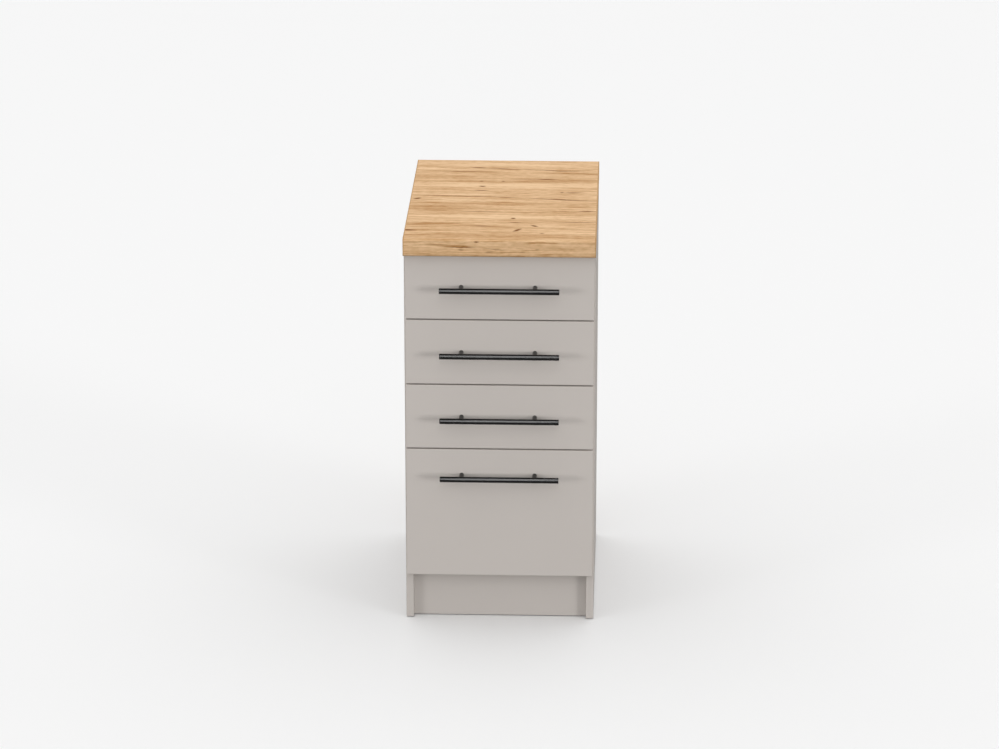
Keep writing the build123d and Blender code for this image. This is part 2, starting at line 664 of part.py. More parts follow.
def make_box_bottom(name, low):
    """Hardboard bottom, held in the grooves of the sides and the front."""
    half_width = BOX_INNER + GROOVE_DEPTH - FIT
    with BuildPart() as box_bottom:
        block(
            (-half_width, half_width),
            (FRONT_BACK_Y - GROOVE_DEPTH + FIT, BOX_BACK_Y),
            bottom_span(low),
        )
        bored(bottom_screw_seats(low), BOTTOM_SCREW)
    finish(box_bottom, name)


def make_rails(name, low, high):
    """Runner rails under the drawer sides, each with a stud for its rear roller."""
    base = low + RUNNER_LIFT
    with BuildPart() as rails:
        with BuildSketch(Plane.XZ.offset(-RAIL_Y)):
            for side in SIDES:
                folded_strip(side, base, RAIL_BENDS)
        extrude(amount=RAIL_Y - BOX_BACK_Y)
        turned(rear_stud_seats(base), REAR_STUD)
        bored(rail_screw_seats(low, high), RAIL_SCREW)
    finish(rails, name)


def make_fixings(name, low, high, handle_z):
    """Cams, cam bolts and screws of one drawer."""
    with BuildPart() as fixings:
        turned(cam_seats(low, high), CAM)
        cross_recesses(cam_seats(low, high), CAM)
        bored(cam_bolt_seats(low, high), CAM_BOLT)
        turned(cam_bolt_seats(low, high), CAM_BOLT)
        turned(box_screw_seats(low, high), CONFIRMAT)
        hex_recesses(box_screw_seats(low, high), CONFIRMAT)
        for seats, steps in (
            (rail_screw_seats(low, high), RAIL_SCREW),
            (bottom_screw_seats(low), BOTTOM_SCREW),
            (handle_screw_seats(handle_z), HANDLE_SCREW),
        ):
            turned(seats, steps)
            cross_recesses(seats, steps)
    finish(fixings, name)


def spigot_seats(handle_z):
    """Back of the bar where the posts are let in, facing the bar."""
    y = BAR_Y + BAR_DIAMETER / 2
    return [Plane((post_x(side), y, handle_z), z_dir=(0, -1, 0)) for side in SIDES]


def bar_seat(handle_z):
    """Left end of a handle's bar."""
    return Plane((-HANDLE_LENGTH / 2, BAR_Y, handle_z), z_dir=(1, 0, 0))


def make_handle_bar(name, handle_z):
    """Round bar with a blind hole for the spigot of each post."""
    with BuildPart() as handle_bar:
        turned([bar_seat(handle_z)], [(BAR_DIAMETER, HANDLE_LENGTH)])
        chamfer(handle_bar.edges().filter_by(GeomType.CIRCLE), BAR_CHAMFER)
        bored(spigot_seats(handle_z), [(SPIGOT_DIAMETER, SPIGOT_DEPTH)])
    finish(handle_bar, name)


def make_handle_posts(name, handle_z):
    """Round posts, saddled to the bar, with a spigot in it and a thread for the handle screw."""
    seats = [seat.offset(-HANDLE_GAP) for seat in spigot_seats(handle_z)]
    with BuildPart() as handle_posts:
        turned(seats, [(POST_DIAMETER, HANDLE_GAP + BAR_DIAMETER / 2)])
        bored([bar_seat(handle_z)], [(BAR_DIAMETER, HANDLE_LENGTH)])
        turned(seats, [(SPIGOT_DIAMETER, HANDLE_GAP + SPIGOT_DEPTH)])
        bored(handle_screw_seats(handle_z), HANDLE_SCREW)
    finish(handle_posts, name)


# Drawers, from the top one down
for number, (low, high) in enumerate(front_spans(), start=1):
    tall = number > SMALL_DRAWERS
    handle_z = high - TALL_HANDLE_DROP if tall else (low + high) / 2
    drawer = f"drawer_{number}"
    base = low + RUNNER_LIFT
    make_front(f"{drawer}_front", low, high, handle_z)
    make_handle_bar(f"{drawer}_handle_bar", handle_z)
    make_handle_posts(f"{drawer}_handle_posts", handle_z)
    make_box_sides(f"{drawer}_box_sides", low, high)
    make_box_back(f"{drawer}_box_back", low, high)
    make_box_bottom(f"{drawer}_box_bottom", low)
    make_rails(f"{drawer}_runner_rails", low, high)
    make_fixings(f"{drawer}_fixings", low, high, handle_z)
    make_rollers(f"{drawer}_rear_rollers", REAR_AXLE_Y, base + REAR_AXLE_RISE)
    make_rollers(f"{drawer}_front_rollers", FRONT_AXLE_Y, base + FRONT_AXLE_RISE)
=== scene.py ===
"""Kitchen base cabinet with four drawers: the finishes of its pieces, and a plain studio round it."""

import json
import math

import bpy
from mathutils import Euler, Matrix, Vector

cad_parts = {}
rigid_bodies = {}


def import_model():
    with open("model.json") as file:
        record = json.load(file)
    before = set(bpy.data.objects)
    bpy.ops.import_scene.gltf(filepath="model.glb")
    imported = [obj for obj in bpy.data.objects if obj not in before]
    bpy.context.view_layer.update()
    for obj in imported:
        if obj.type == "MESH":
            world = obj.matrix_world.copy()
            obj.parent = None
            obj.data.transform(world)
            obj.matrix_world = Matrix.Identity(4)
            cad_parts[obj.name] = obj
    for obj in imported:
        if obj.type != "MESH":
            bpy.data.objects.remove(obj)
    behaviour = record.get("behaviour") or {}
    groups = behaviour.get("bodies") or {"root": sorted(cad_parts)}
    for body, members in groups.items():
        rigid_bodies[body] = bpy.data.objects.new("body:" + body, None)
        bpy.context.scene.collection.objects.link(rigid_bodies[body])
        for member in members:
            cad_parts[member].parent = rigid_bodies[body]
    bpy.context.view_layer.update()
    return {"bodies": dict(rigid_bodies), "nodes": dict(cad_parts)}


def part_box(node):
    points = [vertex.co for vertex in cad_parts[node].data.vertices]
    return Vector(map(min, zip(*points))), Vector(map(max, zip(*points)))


bl_info = {
    "name": "Kitchen base cabinet",
    "version": (1, 0, 0),
    "blender": (4, 5, 0),
    "location": "3D View > Sidebar > Cabinet",
    "description": "Finishes of a kitchen base cabinet with four drawers, and a plain studio round it",
    "category": "Object",
}

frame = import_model()

MM = 0.001
DRAWERS = sorted(body for body in frame["bodies"] if body.startswith("drawer_") and "roller" not in body)

# Ranges that most, nearly all and all values of a random grain lie in
MOST_GRAIN = (0.3, 0.7)
NEARLY_ALL_GRAIN = (0.25, 0.75)
ALL_GRAIN = (0.2, 0.8)
# Cosine of the lean up to which a face counts as looking along a direction
FACING_COSINE = 0.6
# A chip in the chipboard is this many times as long as it is thick
CHIP_FLATNESS = 4

# Tone of the oak: what streaks, fibres and pores give or take, and the tones that are all brown and all pale
STREAK_TONES = (-0.35, 0.55)
FIBRE_TONE = 1.2
PORE_TONE = 0.6
BROWN_TO_PALE = (-0.1, 1.08)
# Values of the pores' grain where a pore begins and where it is at its deepest
PORE_LIMITS = (0.56, 0.64)
# Share of a printed mark, from its middle, that has the mark's whole depth
MARK_CORE = 0.2
# Depth at which a crack or a knot has its whole colour
FULL_CRACK = 0.8

# Marks printed in the oak decor, each (from the left end, from the rear edge, length, width, turn, depth):
# millimetres on the sheet before it is bent over the front edge, degrees towards the front, and a share.
# Bands of brown wood, and of pale wood where the depth is below zero
BANDS = (
    (200, 32, 620, 56, 0, -0.3),
    (45, 53, 180, 18, 6, 0.4),
    (60, 72, 170, 22, 4, -0.5),
    (190, 69, 120, 16, 5, 0.45),
    (105, 92, 230, 20, 0, 0.5),
    (340, 98, 190, 32, 3, 0.35),
    (60, 136, 260, 44, 2, 0.35),
    (320, 150, 260, 40, 0, 0.35),
    (200, 166, 700, 22, 0, 0.4),
    (210, 198, 700, 52, 0, -0.45),
    (110, 281, 250, 12, 1, 0.4),
    (90, 267, 260, 16, 0, -0.4),
    (200, 314, 260, 26, 2, -0.35),
    (320, 303, 220, 14, 6, 0.4),
    (200, 336, 700, 28, 0, 0.35),
    (55, 370, 240, 56, 0, 0.5),
    (340, 396, 240, 30, -2, 0.3),
    (150, 402, 200, 20, 3, 0.3),
    (210, 434, 700, 28, 0, -0.5),
    (350, 466, 160, 14, -1, 0.3),
    (55, 491, 240, 26, 2, 0.45),
    (165, 506, 190, 24, 4, 0.35),
    (30, 537, 130, 26, 0, 0.4),
    (340, 539, 200, 26, 0, -0.35),
    (200, 574, 700, 44, 0, 0.4),
    (50, 611, 130, 16, 2, -0.4),
)
# Cracks, in brown lines along the grain
CRACKS = (
    (136, 59, 56, 8, 8, 0.9),
    (190, 67, 90, 7, 6, 0.7),
    (300, 77, 200, 6, 7, 0.65),
    (100, 89, 130, 6, -2, 0.6),
    (286, 146, 52, 11, 0, 0.9),
    (250, 148, 120, 6, 0, 0.4),
    (147, 236, 40, 8, -3, 0.8),
    (345, 251, 60, 9, 0, 0.6),
    (110, 280, 230, 7, 2, 0.6),
    (200, 287, 60, 6, 3, 0.5),
    (314, 301, 64, 9, 5, 0.9),
    (320, 303, 190, 8, 7, 0.7),
    (376, 387, 40, 9, 2, 0.8),
    (150, 400, 110, 8, 3, 0.45),
    (360, 468, 96, 7, -1, 0.7),
    (226, 473, 40, 7, 0, 0.55),
    (160, 502, 60, 10, 4, 0.55),
    (5, 536, 44, 13, 5, 0.95),
    (66, 611, 56, 4, 0, 0.25),
    (119, 615, 76, 4.4, 0, 0.65),
    (190, 619, 60, 4, 3, 0.4),
)
# Knots, in brown spots
KNOTS = (
    (148, 204, 18, 10, 0, 0.9),
    (13, 300, 24, 13, -30, 0.95),
    (222, 444, 13, 10, 0, 0.95),
    (233, 528, 34, 12, -56, 0.9),
    (268, 498, 28, 10, 40, 0.8),
    (285, 551, 14, 11, 0, 0.6),
    (145, 164, 12, 11, 0, 0.6),
    (192, 164, 10, 11, 0, 0.5),
    (321, 249, 11, 12, 0, 0.6),
    (151, 604, 14, 4, 0, 0.7),
    (119, 620, 16, 6, 0, 0.4),
    (177, 625, 24, 5, 0, 0.4),
    (247, 626, 16, 5, 0, 0.25),
    (277, 620, 14, 5, 0, 0.25),
)

# Lamps, each (kind, from the front to the right, up, wide, high), in degrees; a sun is as high as it is wide
LAMPS = {
    "left_lamp": ("SUN", -56, 5, 17, 17),
    "right_lamp": ("SUN", 54, 5, 17, 17),
    "front_lamp": ("AREA", 1.9, 30, 2.3, 50),
    "strip_lamp": ("AREA", -2.4, 36, 2.3, 72),
}
# Lamp that shows in gloss alone
GLOSS_LAMP = "strip_lamp"


def linear(code):
    """Linear RGBA of an sRGB hex colour."""
    channels = [int(code[i : i + 2], 16) / 255 for i in (0, 2, 4)]
    return (*[c / 12.92 if c <= 0.04045 else ((c + 0.055) / 1.055) ** 2.4 for c in channels], 1.0)


def colour_property(name, description, code):
    """Colour, written as an sRGB hex value."""
    return bpy.props.FloatVectorProperty(
        name=name, description=description, subtype="COLOR", size=4, min=0, max=1, default=linear(code)
    )


def length_property(name, description, millimetres):
    """Length, written in millimetres."""
    return bpy.props.FloatProperty(
        name=name, description=description, unit="LENGTH", default=millimetres * MM
    )


def light_property(name, description, share):
    """Light, written as a share of what a plain white sky gives a surface."""
    return bpy.props.FloatProperty(
        name=name, description=description, subtype="FACTOR", min=0, soft_max=1, default=share
    )


class CabinetColours(bpy.types.PropertyGroup):
    """Colours of the cabinet's finishes."""

    front_grey: colour_property("Front grey", "Melamine of the drawer fronts", "D1CAC4")
    band_grey: colour_property("Band grey", "Edge bands of the carcass, and the plinth", "CDC6C0")
    # Darker than the band and front greys: painted shade for the shaded sides of the cabinet, put into every
    # carcass face
    carcass_shaded_grey: colour_property("Carcass grey", "Melamine faces of the carcass boards", "B4AEA9")
    oak_light: colour_property("Light oak", "Pale wood of the worktop's print", "EEC99E")
    oak_dark: colour_property("Dark oak", "Brown wood of the worktop's print", "B48450")
    oak_crack: colour_property("Oak crack", "Cracks and knots of the worktop's print", "7C4A13")
    # The strip's oak is darker than the print, partly as painted shade for the worktop's ends that face away
    # from the light
    strip_oak_and_shade: colour_property("Oak strip", "Edge strips on the ends of the worktop", "A67C4A")
    handle_black: colour_property("Handle black", "Powder coat of the handles", "0A0909")
    box_white: colour_property("Box white", "Melamine of the drawer boxes", "EDECE8")
    chip_light: colour_property("Light chips", "Palest chips of raw chipboard", "D2B389")
    chip_dark: colour_property("Dark chips", "Darkest chips of raw chipboard", "8F6C46")
    backing_paper: colour_property("Backing paper", "Balancing paper under the worktop", "A58F74")
    hardboard_brown: colour_property("Hardboard brown", "Bare face of the hardboard", "86633F")
    hardboard_white: colour_property("Hardboard white", "Painted face of the hardboard", "E8E6E0")
    steel_white: colour_property("Runner white", "Stoved coat of the runners", "ECEBE8")
    nylon: colour_property("Nylon", "Rollers", "DDDBD4")
    zinc: colour_property("Zinc", "Plated screws, nails and cams", "C3C5C8")
    # The caps match the carcass faces' grey, so they carry its painted shade
    cap_shaded_grey: colour_property("Cap grey", "Caps over the screws", "B9B3AE")
    glide_grey: colour_property("Glide grey", "Glides under the side panels", "3A3836")
    beech: colour_property("Beech", "Dowels", "C9A77C")


class CabinetPatterns(bpy.types.PropertyGroup):
    """Sizes of the patterns in the finishes."""

    pearl: length_property("Pearl", "Dimples of the melamine's pressed face", 0.8)
    film_cloud: length_property("Film cloud", "Clouds in the colour of the melamine's film", 90)
    peel: length_property("Orange peel", "Waves of the powder and stoved coats", 2.0)
    chip: length_property("Chip", "Length of a wood chip in the chipboard", 4.0)
    paper: length_property("Paper", "Mottles of the balancing paper", 3)
    # The wires of a press's screen are about 1 mm apart; they are drawn wider, to show at all
    mesh: length_property("Mesh", "Wires of the screen pressed in the hardboard", 2.4)
    mottle: length_property("Mottle", "Brown mottles of the hardboard", 9)
    board_fibre: length_property("Board fibre", "Fibres under the paint of the hardboard", 0.7)
    milk: length_property("Milk", "Milky clouds in the nylon", 3)
    plating: length_property("Plating", "Clouds in the zinc plate", 1.5)
    dowel_streak: length_property("Dowel streak", "Streaks of the beech, along the grain", 20)
    dowel_line: length_property("Dowel line", "Streaks of the beech, across the grain", 0.8)
    wave_length: length_property("Wave length", "Waves in the oak's grain, along it", 260)
    wave_width: length_property("Wave width", "Waves in the oak's grain, across it", 70)
    wave_reach: length_property("Wave reach", "How far a wave carries the oak's grain to either side", 5)
    streak_length: length_property("Streak length", "Streaks of the oak, along the grain", 120)
    streak_width: length_property("Streak width", "Streaks of the oak, across the grain", 7)
    # Fibres and pores of real oak are under 1 mm wide; they are drawn wider, to show at all
    fibre_length: length_property("Fibre length", "Fine fibres of the oak, along the grain", 16)
    fibre_width: length_property("Fibre width", "Fine fibres of the oak, across the grain", 4)
    pore_length: length_property("Pore length", "Open pores of the oak, along the grain", 140)
    pore_width: length_property("Pore width", "Open pores of the oak, across the grain", 5)
    fray_length: length_property("Fray length", "Ragged edges of cracks and knots, along the grain", 16)
    fray_width: length_property("Fray width", "Ragged edges of cracks and knots, across the grain", 6)
    fray_reach: length_property("Fray reach", "How far a ragged edge strays to either side", 1.5)


class CabinetStudio(bpy.types.PropertyGroup):
    """Floor, light and camera."""

    floor_white: colour_property("Floor white", "Floor and backdrop as the camera sees them", "F7F7F7")
    floor_grey: colour_property("Floor grey", "Floor that throws light back on the cabinet", "6C6C6C")
    floor_size: length_property("Floor size", "Side of the floor", 120_000)
    sky: light_property("Sky", "Light from all round", 0.835)
    sky_lean: bpy.props.FloatVectorProperty(
        name="Sky lean",
        description="More light from the right, the back and above",
        subtype="XYZ",
        default=(0.0, 0.39, 0.075),
    )
    left_lamp: light_property("Left lamp", "Low lamp on the left", 0.235)
    right_lamp: light_property("Right lamp", "Low lamp on the right", 0.33)
    front_lamp: light_property("Front lamp", "Tall lamp in front", 0.17)
    strip_lamp: light_property("Strip lamp", "Tall lamp seen in gloss alone", 0.52)
    lamp_distance: length_property("Lamp distance", "Lamps to the cabinet", 60_000)
    lens: bpy.props.FloatProperty(
        name="Lens", description="Focal length in millimetres", unit="CAMERA", default=144.6
    )
    camera_place: bpy.props.FloatVectorProperty(
        name="Camera place", description="Camera", subtype="TRANSLATION", default=(0.2758, -8.2173, 3.2749)
    )
    camera_turn: bpy.props.FloatVectorProperty(
        name="Camera turn",
        description="Turn of the camera about X, Y and Z",
        subtype="EULER",
        default=(math.pi / 2 - 0.3294, 0, 0.0347),
    )


def shown(sockets):
    """Sockets that a node shows under its settings."""
    return [socket for socket in sockets if socket.enabled]


def add(tree, kind, values=(), **settings):
    """Add a node with its settings, and fill the sockets that it shows, in order or by name.

    A node or an output is linked to its socket, and any other value is set there.
    """
    node = tree.nodes.new("ShaderNode" + kind)
    for name, value in settings.items():
        setattr(node, name, value)
    if isinstance(values, dict):
        pairs = [(node.inputs[name], value) for name, value in values.items()]
    else:
        pairs = list(zip(shown(node.inputs), values))
    for socket, value in pairs:
        if isinstance(value, bpy.types.Node):
            value = shown(value.outputs)[0]
        if isinstance(value, bpy.types.NodeSocket):
            tree.links.new(value, socket)
        else:
            socket.default_value = value
    return node


def new_finish(name):
    """New material, its empty tree, and the outputs for the surface's place in metres and its normal."""
    material = bpy.data.materials.new(name)
    material.use_nodes = True
    tree = material.node_tree
    tree.nodes.clear()
    return material, tree, add(tree, "TexCoord").outputs


def dress(nodes, material, surface):
    """Close a finish with its surface, given by the shader's sockets, and dress CAD nodes in it."""
    tree = material.node_tree
    shader = add(tree, "BsdfPrincipled", surface)
    add(tree, "OutputMaterial", {"Surface": shader})
    for name in nodes:
        frame["nodes"][name].material_slots[0].material = material


def of_drawers(*parts):
    """Names of the same pieces in all drawers."""
    return [f"{drawer}_{part}" for drawer in DRAWERS for part in parts]


def dimmed(colour, share):
    """Colour whose three channels are a share of another's."""
    return [channel * share for channel in colour[:3]] + [1.0]


def grain(tree, place, size, detail=2.0):
    """Soft random pattern from 0 to 1, whose patches have the given size along X, Y and Z."""
    stretched = add(tree, "Mapping", {"Vector": place, "Scale": [1 / side for side in size]})
    return add(tree, "TexNoise", {"Vector": stretched, "Scale": 1.0, "Detail": detail})


def marks(tree, place, rows, operation):
    """Printed marks in the shape of long lenses, put together by adding or by keeping the deepest."""
    total = 0.0
    for left, rear, length, width, turn, depth in rows:
        middle = (left * MM, rear * MM, 0)
        turned = (0, 0, math.radians(turn))
        half = (length * MM / 2, width * MM / 2, 1)
        lens = add(tree, "Mapping", (place, middle, turned, half), vector_type="TEXTURE")
        reach = add(tree, "VectorMath", (lens,), operation="LENGTH")
        fade = add(tree, "MapRange", (reach, 1.0, MARK_CORE, 0.0, depth))
        total = add(tree, "Math", (total, fade), operation=operation)
    return total


def shifted(tree, place, pattern, reach):
    """Place moved across the grain by a pattern, as far as the reach to either side."""
    side = add(tree, "MapRange", (pattern, *NEARLY_ALL_GRAIN, -reach, reach))
    way = add(tree, "CombineXYZ", {"Y": side})
    return add(tree, "VectorMath", (place, way), operation="ADD")


def oak_print(tree, place, colours, sizes, marked):
    """Printed oak with its grain along X. Returns its colour and its tone, for the relief."""
    waves = grain(tree, place, (sizes.wave_length, sizes.wave_width, 1))
    wavy = shifted(tree, place, waves, sizes.wave_reach)
    streaks = grain(tree, wavy, (sizes.streak_length, sizes.streak_width, 1), detail=3.0)
    fibres = grain(tree, wavy, (sizes.fibre_length, sizes.fibre_width, 1), detail=3.0)
    pores = grain(tree, wavy, (sizes.pore_length, sizes.pore_width, 1))
    tone = add(tree, "MapRange", (streaks, *ALL_GRAIN, *STREAK_TONES))
    tone = add(tree, "Math", (fibres, FIBRE_TONE, tone), operation="MULTIPLY_ADD")
    lines = add(tree, "MapRange", (pores, *PORE_LIMITS, 0.0, PORE_TONE))
    tone = add(tree, "Math", (tone, lines), operation="SUBTRACT")
    if marked:
        bands = marks(tree, wavy, BANDS, "ADD")
        tone = add(tree, "Math", (tone, bands), operation="SUBTRACT")
    tone = add(tree, "MapRange", (tone, *BROWN_TO_PALE))
    colour = add(tree, "Mix", (tone, colours.oak_dark, colours.oak_light), data_type="RGBA")
    if marked:
        fray = grain(tree, place, (sizes.fray_length, sizes.fray_width, 1), detail=4.0)
        ragged = shifted(tree, wavy, fray, sizes.fray_reach)
        depth = marks(tree, ragged, CRACKS + KNOTS, "MAXIMUM")
        cracks = add(tree, "MapRange", (depth, 0.0, FULL_CRACK))
        colour = add(tree, "Mix", (cracks, colour, colours.oak_crack), data_type="RGBA")
    return colour, tone


def chipboard(tree, place, colours, size, thin):
    """Raw chipboard, its chips lying flat in the board. Returns its colour and its height."""
    sides = [size, size, size]
    sides["XYZ".index(thin)] = size / CHIP_FLATNESS
    stretched = add(tree, "Mapping", {"Vector": place, "Scale": [1 / side for side in sides]})
    chips = add(tree, "TexVoronoi", {"Vector": stretched, "Scale": 1.0})
    kind = add(tree, "SeparateColor", (chips.outputs["Color"],))
    colour = add(tree, "Mix", (kind, colours.chip_dark, colours.chip_light), data_type="RGBA")
    return colour, kind


def facing(tree, normal, directions):
    """1 on faces that look along one of the directions, such as +X or -Y, and 0 elsewhere."""
    parts = add(tree, "SeparateXYZ", (normal,)).outputs
    found = 0.0
    for sign, axis in directions:
        way = 1.0 if sign == "+" else -1.0
        along = add(tree, "Math", (parts[axis], way), operation="MULTIPLY")
        here = add(tree, "Math", (along, FACING_COSINE), operation="GREATER_THAN")
        found = add(tree, "Math", (found, here), operation="MAXIMUM")
    return found


def melamine_board(context, nodes, name, face, band, thin, faced, banded):
    """Melamine-faced chipboard: a hard film, nearly matt, with a fine pressed pearl.

    The board is thin along one axis, faced and banded in the given directions, and raw on its other edges.
    """
    colours = context.scene.cabinet_colours
    sizes = context.scene.cabinet_patterns
    material, tree, place = new_finish(name)
    cloud = grain(tree, place["Object"], [sizes.film_cloud] * 3)
    pearl = grain(tree, place["Object"], [sizes.pearl] * 3)
    # The film's colour is printed evenly, and varies by about one part in a hundred
    film = add(tree, "Mix", (cloud, dimmed(face, 0.975), face), data_type="RGBA")
    edges = facing(tree, place["Normal"], banded)
    film = add(tree, "Mix", (edges, film, band), data_type="RGBA")
    chips, chip_height = chipboard(tree, place["Object"], colours, sizes.chip, thin)
    cover = facing(tree, place["Normal"], faced + banded)
    colour = add(tree, "Mix", (cover, chips, film), data_type="RGBA")
    film_roughness = add(tree, "MapRange", (pearl, *MOST_GRAIN, 0.6, 0.68))
    roughness = add(tree, "MapRange", (cover, 0.0, 1.0, 0.9, film_roughness))
    height = add(tree, "Mix", (cover, chip_height, pearl))
    bump = add(tree, "Bump", {"Height": height, "Distance": 0.02 * MM})
    surface = {
        "Base Color": colour,
        "Roughness": roughness,
        "IOR": 1.5,
        "Specular IOR Level": 0.06,
        "Normal": bump,
    }
    dress(nodes, material, surface)


class CABINET_OT_carcass(bpy.types.Operator):
    """Finish the carcass boards"""

    bl_idname = "cabinet.carcass"
    bl_label = "Carcass boards"

    def execute(self, context):
        colours = context.scene.cabinet_colours
        # Carcass faces get the grey with painted shade, and their front edges get the lighter band grey
        face = colours.carcass_shaded_grey
        band = colours.band_grey
        upright = ("side_panel_left", "side_panel_right")
        flat = ("bottom_panel", "top_rail_front", "top_rail_rear")
        for nodes, name, grey, thin, faced, banded in (
            (upright, "grey melamine on upright chipboard", face, "X", ("+X", "-X"), ("-Y",)),
            (flat, "grey melamine on flat chipboard", face, "Z", ("+Z", "-Z"), ("-Y",)),
            (("plinth_board",), "grey melamine on plinth chipboard", band, "Y", ("+Y", "-Y"), ()),
        ):
            melamine_board(context, nodes, name, grey, band, thin, faced, banded)
        return {"FINISHED"}


class CABINET_OT_fronts(bpy.types.Operator):
    """Finish the drawer fronts"""

    bl_idname = "cabinet.fronts"
    bl_label = "Drawer fronts"

    def execute(self, context):
        grey = context.scene.cabinet_colours.front_grey
        name = "grey melamine, banded all round"
        edges = ("+X", "-X", "+Z", "-Z")
        melamine_board(context, of_drawers("front"), name, grey, grey, "Y", ("+Y", "-Y"), edges)
        return {"FINISHED"}


class CABINET_OT_worktop(bpy.types.Operator):
    """Finish the worktop's core, laminate and end strips"""

    bl_idname = "cabinet.worktop"
    bl_label = "Worktop"

    def execute(self, context):
        colours = context.scene.cabinet_colours
        sizes = context.scene.cabinet_patterns
        self.laminate(colours, sizes)
        self.end_strips(colours, sizes)
        self.core(colours, sizes)
        return {"FINISHED"}

    def laminate(self, colours, sizes):
        # Printed paper pressed under melamine: nearly matt, and the print runs on round the bent front edge
        material, tree, place = new_finish("oak-print laminate, pressed satin")
        low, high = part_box("worktop_laminate")
        parts = add(tree, "SeparateXYZ", (place["Object"],)).outputs
        along = add(tree, "Math", (parts["X"], low.x), operation="SUBTRACT")
        over = add(tree, "Math", (parts["Y"], parts["Z"]), operation="ADD")
        across = add(tree, "Math", (high.y + high.z, over), operation="SUBTRACT")
        sheet = add(tree, "CombineXYZ", (along, across))
        colour, tone = oak_print(tree, sheet, colours, sizes, marked=True)
        roughness = add(tree, "MapRange", (tone, 0.0, 1.0, 0.58, 0.5))
        bump = add(tree, "Bump", {"Height": tone, "Distance": 0.05 * MM})
        surface = {
            "Base Color": colour,
            "Roughness": roughness,
            "IOR": 1.5,
            "Specular IOR Level": 0.03,
            "Normal": bump,
        }
        dress(["worktop_laminate"], material, surface)

    def end_strips(self, colours, sizes):
        # Extruded edging: the same print, more even, its grain along the strip; its deeper colour is partly
        # the edging's own and partly painted shade for the worktop's shaded ends
        material, tree, place = new_finish("oak-print ABS edging, extruded")
        parts = add(tree, "SeparateXYZ", (place["Object"],)).outputs
        strip = add(tree, "CombineXYZ", (parts["Y"], parts["Z"]))
        colour, tone = oak_print(tree, strip, colours, sizes, marked=False)
        colour = add(tree, "Mix", (0.6, colour, colours.strip_oak_and_shade), data_type="RGBA")
        roughness = add(tree, "MapRange", (tone, 0.0, 1.0, 0.6, 0.52))
        bump = add(tree, "Bump", {"Height": tone, "Distance": 0.03 * MM})
        surface = {
            "Base Color": colour,
            "Roughness": roughness,
            "IOR": 1.52,
            "Specular IOR Level": 0.03,
            "Normal": bump,
        }
        dress(["worktop_end_strips"], material, surface)

    def core(self, colours, sizes):
        # Raw chips at the rear edge, and brown balancing paper underneath that lets the chips show faintly
        material, tree, place = new_finish("worktop chipboard, sawn and papered")
        chips, height = chipboard(tree, place["Object"], colours, sizes.chip, "Z")
        mottle = grain(tree, place["Object"], [sizes.paper] * 3)
        paper = add(tree, "Mix", (mottle, colours.backing_paper, chips), data_type="RGBA")
        paper = add(tree, "Mix", (0.3, colours.backing_paper, paper), data_type="RGBA")
        under = facing(tree, place["Normal"], ("-Z",))
        colour = add(tree, "Mix", (under, chips, paper), data_type="RGBA")
        bump = add(tree, "Bump", {"Height": height, "Distance": 0.1 * MM})
        dress(["worktop_core"], material, {"Base Color": colour, "Roughness": 0.85, "Normal": bump})


class CABINET_OT_handles(bpy.types.Operator):
    """Finish the bar handles"""

    bl_idname = "cabinet.handles"
    bl_label = "Bar handles"

    def execute(self, context):
        colours = context.scene.cabinet_colours
        sizes = context.scene.cabinet_patterns
        # Powder coat on steel: deep black with a weak, clear gloss that a slight orange peel breaks up
        material, tree, place = new_finish("black powder coat, satin")
        peel = grain(tree, place["Object"], [sizes.peel] * 3)
        roughness = add(tree, "MapRange", (peel, *MOST_GRAIN, 0.1, 0.13))
        bump = add(tree, "Bump", {"Height": peel, "Distance": 0.004 * MM})
        surface = {
            "Base Color": colours.handle_black,
            "Roughness": roughness,
            "IOR": 1.5,
            "Specular IOR Level": 0.13,
            "Normal": bump,
        }
        dress(of_drawers("handle_bar", "handle_posts"), material, surface)
        return {"FINISHED"}


class CABINET_OT_drawer_boxes(bpy.types.Operator):
    """Finish the sides and backs of the drawer boxes"""

    bl_idname = "cabinet.drawer_boxes"
    bl_label = "Drawer boxes"

    def execute(self, context):
        white = context.scene.cabinet_colours.box_white
        for part, thin, faced, banded in (
            ("box_sides", "X", ("+X", "-X"), ("+Z", "-Z")),
            ("box_back", "Y", ("+Y", "-Y"), ("+Z",)),
        ):
            name = f"white melamine on chipboard, {part.replace('_', ' ')}"
            melamine_board(context, of_drawers(part), name, white, white, thin, faced, banded)
        return {"FINISHED"}


